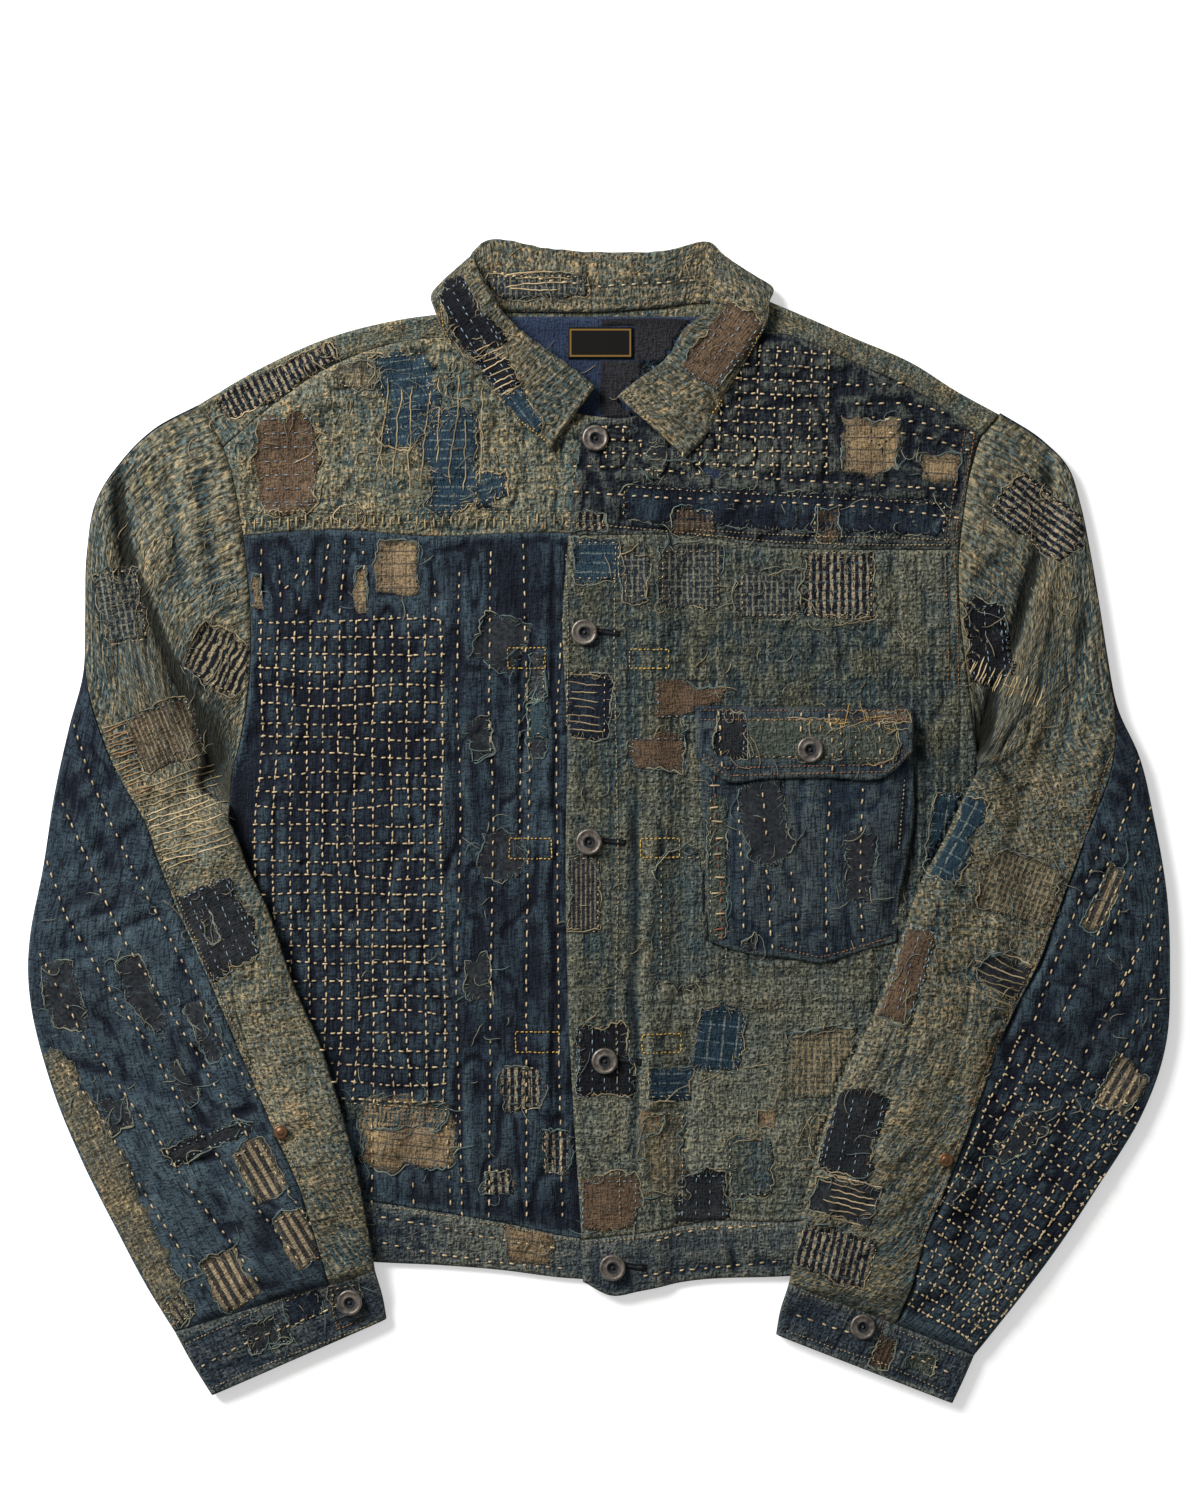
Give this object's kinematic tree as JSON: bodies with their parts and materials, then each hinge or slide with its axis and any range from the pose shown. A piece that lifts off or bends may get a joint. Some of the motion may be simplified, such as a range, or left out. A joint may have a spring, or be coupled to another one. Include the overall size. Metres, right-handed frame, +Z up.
{
  "type": "patched boro denim jacket laid flat",
  "caption": "Patched and mended cropped denim jacket lying flat, front buttoned, sleeves folded down over its sides, with turned collar, yokes, chest pocket and cuffs.",
  "frame": {"origin": "middle of the bounding box at the surface the jacket lies on", "axes": "+Z up from the surface, +Y towards the collar, +X towards the wearer's left sleeve"},
  "size_m": [0.731, 0.7439, 0.0194],
  "materials": {
    "body_cloth": "washed indigo denim with running stitches and worn holes",
    "band_cloth": "indigo twill, edge stitched and patched",
    "yoke_cloth": "faded teal and beige slub weave with patches",
    "left_yoke_cloth": "navy cloth in a grid of pale stitches",
    "left_front_cloth": "olive and indigo slub weave with patches",
    "collar_cloth": "beige and teal slub weave, frayed edges",
    "sleeve_cloth": "beige and teal slub weave with patches",
    "pocket_cloth": "indigo denim with dashed stitches and worn holes",
    "lining_cloth": "blue and charcoal lining cotton",
    "label_cloth": "black woven label with a plain ochre border",
    "aged_steel": "worn grey stamped metal",
    "aged_copper": "tarnished copper"
  },
  "bodies": {
    "root": {"back": "body_cloth", "back_waistband": "band_cloth", "back_yoke": "yoke_cloth", "right_front_yoke": "yoke_cloth", "left_front_yoke": "left_yoke_cloth", "right_front": "body_cloth", "left_front": "left_front_cloth", "right_waistband": "band_cloth", "left_waistband": "band_cloth", "collar": "collar_cloth", "neck_lining": "lining_cloth", "neck_label": "label_cloth", "pocket": "pocket_cloth", "pocket_flap": "pocket_cloth", "right_sleeve_front": "sleeve_cloth", "right_sleeve_back": "body_cloth", "left_sleeve_front": "sleeve_cloth", "left_sleeve_back": "body_cloth", "right_cuff": "band_cloth", "left_cuff": "band_cloth", "front_button_1": "aged_steel", "front_button_2": "aged_steel", "front_button_3": "aged_steel", "front_button_4": "aged_steel", "front_button_5": "aged_steel", "pocket_button": "aged_steel", "right_cuff_button": "aged_steel", "left_cuff_button": "aged_steel", "right_sleeve_rivet": "aged_copper", "left_sleeve_rivet": "aged_copper"}
  },
  "joints": []
}
